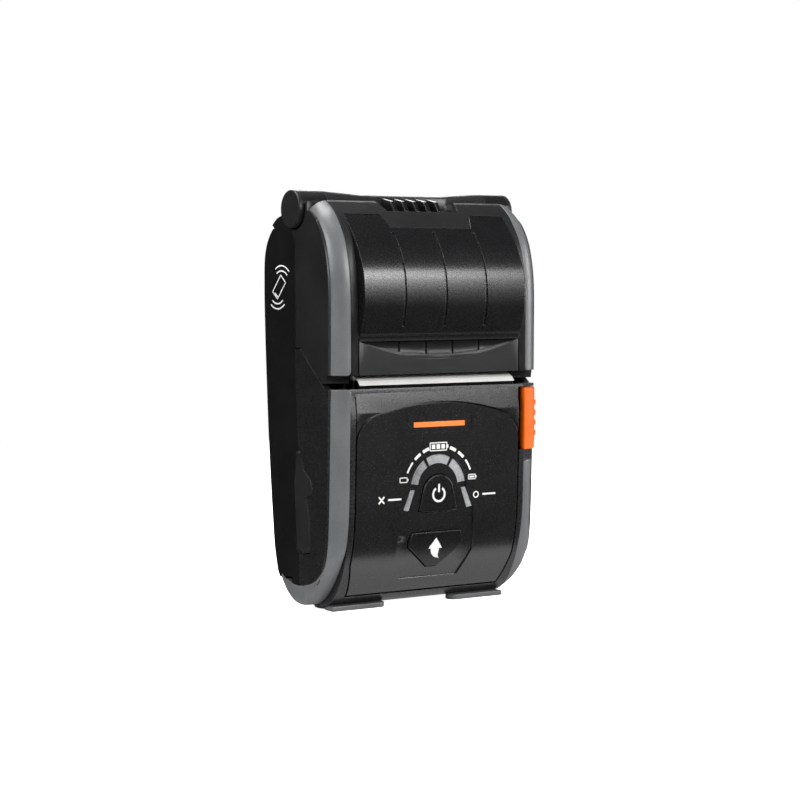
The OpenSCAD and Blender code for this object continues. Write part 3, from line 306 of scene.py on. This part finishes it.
def make(name, bm, finish_name, body, nodes=()):
    """One piece from a finished mesh: outward faces, smooth shading, its finish and its body."""
    bmesh.ops.recalc_face_normals(bm, faces=bm.faces)
    me = bpy.data.meshes.new(name)
    bm.to_mesh(me)
    bm.free()
    me.shade_smooth()
    me.set_sharp_from_angle(angle=radians(SHARP))
    piece = bpy.data.objects.new(name, me)
    scene.collection.objects.link(piece)
    me.materials.append(FINISHES[finish_name])
    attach(piece, body)
    if nodes:
        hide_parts(*nodes)
    return piece


def solid_of(node):
    """A CAD solid as one joined mesh with flat faces made whole."""
    bm = bmesh.new()
    bm.from_mesh(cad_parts[node].data)
    bmesh.ops.remove_doubles(bm, verts=bm.verts, dist=SAME_POINT)
    bmesh.ops.dissolve_limit(bm, angle_limit=LEVEL, verts=bm.verts, edges=bm.edges)
    return bm


def evened(piece):
    """Flat faces stay flat where they run into rounded ones."""
    even = piece.modifiers.new("even", "WEIGHTED_NORMAL")
    even.keep_sharp = True
    return piece


def rounded(piece, width):
    """A piece with its sharp edges rounded over, width in millimetres."""
    ease = piece.modifiers.new("ease", "BEVEL")
    ease.width = width * MM
    ease.segments = EDGE_STEPS
    ease.limit_method = "ANGLE"
    ease.angle_limit = radians(SHARP)
    ease.use_clamp_overlap = False
    return evened(piece)


def moulded(name, node, finish_name, body):
    """A shell whose edges are softened by its finish alone."""
    return evened(make(name, solid_of(node), finish_name, body, [node]))


def eased(name, node, finish_name, body, width=0.3):
    """A small part with its edges really rounded."""
    return rounded(make(name, solid_of(node), finish_name, body, [node]), width)


def turned_over(bm, edges, width):
    """The named edges of a mesh rounded over, width in millimetres."""
    bmesh.ops.bevel(bm, geom=edges, offset=width * MM, offset_type="OFFSET", affect="EDGES",
                    segments=CORNER_STEPS, profile=0.5, material=-1)


GUARD_CORNER = 1.4


def guard(name, node, body, end):
    """A corner strip whose inner corner is rounded at its top or bottom end."""
    bm = solid_of(node)
    inner = min(abs(v.co.x) for v in bm.verts) + SAME_PLACE
    heights = [v.co.z for v in bm.verts]
    tip = max(heights) if end == "top" else min(heights)
    corners = [e for e in bm.edges
               if all(abs(v.co.x) < inner and abs(v.co.z - tip) < SAME_PLACE for v in e.verts)]
    turned_over(bm, corners, GUARD_CORNER)
    return rounded(make(name, bm, "bumper", body, [node]), 0.3)


SHELL_EDGE = 1.8
SHELL_BACK = 8 * MM
SHELL_LOW = 12 * MM
SHELL_HIGH = 118 * MM
BELOW_HINGE = 100 * MM


def rear_shell():
    """The back half of the case, its long outer edges rounded."""
    bm = solid_of("rear_housing")
    side = max(abs(v.co.x) for v in bm.verts if v.co.z < BELOW_HINGE) - 0.02 * MM
    outer = [e for e in bm.edges if len(e.link_faces) == 2
             and all(abs(v.co.x) > side and v.co.y > SHELL_BACK and SHELL_LOW < v.co.z < SHELL_HIGH
                     for v in e.verts)]
    back = [e for e in outer if min(abs(f.normal.x) for f in e.link_faces) < 0.1
            and max(f.normal.y for f in e.link_faces) > 0.1]
    turned_over(bm, back, SHELL_EDGE)
    return evened(make("rear_shell", bm, "shell", "housing", ["rear_housing"]))


PAPER_BEND = -17.5 * MM
PAPER_DROOP = 0.9 * MM


def paper_end():
    """The paper, its free end drooping over the teeth of the tear bar."""
    bm = solid_of("paper_strip")
    free = [v for v in bm.verts if v.co.y < PAPER_BEND]
    bmesh.ops.translate(bm, verts=free, vec=(0, 0, -PAPER_DROOP))
    return evened(make("paper_web", bm, "paper", "housing", ["paper_strip"]))


def dress(node, finish_name):
    """A better finish on a CAD node that stays."""
    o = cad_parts[node]
    if not o.data.materials:
        o.data.materials.append(FINISHES[finish_name])
    for s in range(len(o.data.materials)):
        o.data.materials[s] = FINISHES[finish_name]


MARK_STEP = 1.2 * MM
MARK_LIFT = 0.04 * MM
MARK_DEPTH = 0.08 * MM
MARK_START = 0.1


class Marks:
    """Thin printed marks, drawn flat in millimetres and laid onto the solid they belong to."""

    def __init__(self, side=False):
        self.bm = bmesh.new()
        self.side = side

    def at(self, u, v):
        return Vector((0, u, v)) * MM if self.side else Vector((u, 0, v)) * MM

    def shape(self, *corners):
        self.bm.faces.new([self.bm.verts.new(self.at(*c)) for c in corners])

    def bar(self, a, b, width):
        a, b = Vector(a), Vector(b)
        out = (b - a).normalized() * width / 2
        out = Vector((-out.y, out.x))
        self.shape(a + out, a - out, b - out, b + out)

    def block(self, x, z, width, height):
        self.shape((x, z), (x + width, z), (x + width, z + height), (x, z + height))

    def ring(self, centre, radius, width, start=0, end=360):
        way = Vector((cos(radians(start)), sin(radians(start))))
        ends = [self.bm.verts.new(self.at(*(Vector(centre) + way * r)))
                for r in (radius - width / 2, radius + width / 2)]
        bmesh.ops.spin(self.bm, geom=ends + [self.bm.edges.new(ends)], cent=self.at(*centre),
                       axis=(1, 0, 0) if self.side else (0, -1, 0), angle=radians(end - start),
                       steps=max(4, round((end - start) / 9)), use_merge=end - start == 360)

    def outline(self, corners, width):
        for a, b in zip(corners, corners[1:] + corners[:1]):
            self.bar(a, b, width)

    def frame(self, x, z, width, height, line):
        self.outline([(x, z), (x + width, z), (x + width, z + height), (x, z + height)], line)

    def lay(self, name, node, body, finish_name="ink"):
        bm = self.bm
        bmesh.ops.subdivide_edges(bm, edges=[e for e in bm.edges if e.calc_length() > MARK_STEP],
                                  cuts=3, use_grid_fill=True)
        solid = solid_of(node)
        tree = BVHTree.FromBMesh(solid)
        solid.free()
        way = Vector((1, 0, 0)) if self.side else Vector((0, 1, 0))
        for v in bm.verts:
            v.co = tree.ray_cast(v.co - way * MARK_START, way)[0] - way * MARK_LIFT
        bmesh.ops.recalc_face_normals(bm, faces=bm.faces)
        bmesh.ops.solidify(bm, geom=bm.faces, thickness=MARK_DEPTH)
        return make(name, bm, finish_name, body)


# The dashed arc over the battery lights: its middle, its radius, and each dash as start, end and width.
ARC_MIDDLE = (0, 37.7)
ARC_RADIUS = 12.7
DASHES = ((61, 72, 1), (44.6, 56.4, 0.9), (22.5, 39.4, 0.6))


def mark_arc():
    arc = Marks()
    for start, end, width in DASHES:
        arc.ring(ARC_MIDDLE, ARC_RADIUS, width, start, end)
        arc.ring(ARC_MIDDLE, ARC_RADIUS, width, 180 - end, 180 - start)
    arc.lay("mark_arc", "control_panel", "housing")


def mark_signs():
    """A full battery at the top, an empty and a part full one below it, then a cross and a ring."""
    signs = Marks()
    signs.frame(-3.5, 49.1, 6.2, 2.4, 0.35)
    signs.block(2.9, 49.8, 0.4, 1)
    for x in (-2.9, -1.1, 0.7):
        signs.block(x, 49.6, 1.3, 1.4)
    for x, z in ((-14.4, 39.8), (11.1, 39.6)):
        signs.frame(x, z, 2.6, 1.4, 0.3)
        signs.block(x + 2.8, z + 0.4, 0.3, 0.6)
    signs.block(11.5, 40, 1.8, 0.6)
    signs.bar((-22, 33.7), (-20, 35.8), 0.5)
    signs.bar((-20, 33.7), (-20.85, 34.6), 0.5)
    signs.bar((-21.15, 34.9), (-22, 35.8), 0.5)
    signs.block(-18.6, 34.4, 4.8, 0.6)
    signs.ring((14.1, 34.6), 0.9, 0.4)
    signs.block(16.6, 34.3, 5, 0.6)
    signs.lay("mark_signs", "control_panel", "housing")


def mark_keys():
    """The standby sign on the power key and the arrow with a bent tail on the feed key."""
    on = Marks()
    on.ring((0, 35.45), 2.15, 0.7, 122, 418)
    on.bar((0, 36.1), (0, 38.7), 0.7)
    on.lay("mark_on", "power_button", "power_key")
    feed = Marks()
    feed.shape((-2.6, 18.4), (2.6, 18.4), (0, 21.85))
    feed.ring((1.55, 18.5), 1.6, 3.1, 180, 266)
    feed.shape((1.2, 15.4), (1.2, 16.4), (2, 15.1))
    feed.lay("mark_feed", "feed_button", "feed_key")


def mark_band():
    """The plain stripe on the label plate."""
    band = Marks()
    band.block(-9.5, 56.5, 19, 1.6)
    band.lay("mark_band", "name_plate", "housing", "stripe")


def mark_wave():
    """A tilted handset between two pairs of waves, on the left side of the case."""
    wave = Marks(side=True)
    wave.outline([(11.8, 103), (8.8, 100.7), (13.8, 95.6), (16.8, 97.8)], 0.4)
    wave.bar((15.4, 97.4), (13.3, 96), 0.5)
    for radius in (5.4, 7):
        wave.ring((11.4, 98.9), radius, 0.45, 58, 132)
        wave.ring((13.8, 99.5), radius, 0.45, 232, 306)
    wave.lay("mark_wave", "rear_housing", "housing")


set_camera()
set_studio()
set_floor()

rear_shell()
paper_end()
moulded("front_shell", "front_housing", "front", "housing")
moulded("panel", "control_panel", "panel", "housing")
moulded("label_plate", "name_plate", "panel", "housing")
for side in ("left", "right"):
    guard("lower_guard_" + side, "lower_bumper_" + side, "housing", "top")
    eased("rear_guard_" + side, "rear_bumper_" + side, "bumper", "housing")
    guard("upper_guard_" + side, "upper_bumper_" + side, "cover", "bottom")
    eased("toe_" + side, "foot_" + side, "bumper", "housing")
    eased("end_cap_" + side, "hinge_cap_" + side, "lid", "housing", 0.15)
moulded("lid_shell", "cover_frame", "lid", "cover")
moulded("lid_bulge", "cover_dome", "smoked", "cover")
eased("lid_fins", "cover_ribs", "smoked", "cover")
eased("power_cap", "power_button", "key", "power_key")
eased("feed_cap", "feed_button", "key", "feed_key")
eased("release_cap", "release_button", "orange", "release_key")
eased("socket_flap", "port_cover", "flap", "port_flap", 0.25)
eased("battery_case", "battery_pack", "shell", "battery", 0.5)

DRESSED = {
    "steel": "hinge_pin hinge_spring head_springs idler_axle platen_shaft release_spring "
             "battery_contacts case_screws data_socket motor_gear",
    "blade": "tear_bar print_frame",
    "sink": "heat_sink feed_motor key_switches",
    "front": "paper_bay",
    "head": "print_head",
    "plug": "paper_sensor power_socket",
    "paper": "paper_roll",
    "card": "paper_core",
    "board": "main_board",
    "lens": "indicator_leds battery_light_low battery_light_mid battery_light_full error_light "
            "status_light",
    "brass": "platen_bushes",
    "roller": "platen_roller",
    "gear": "platen_gear idler_gear",
}
for finish_name, nodes in DRESSED.items():
    for node in nodes.split():
        dress(node, finish_name)

mark_arc()
mark_signs()
mark_keys()
mark_band()
mark_wave()
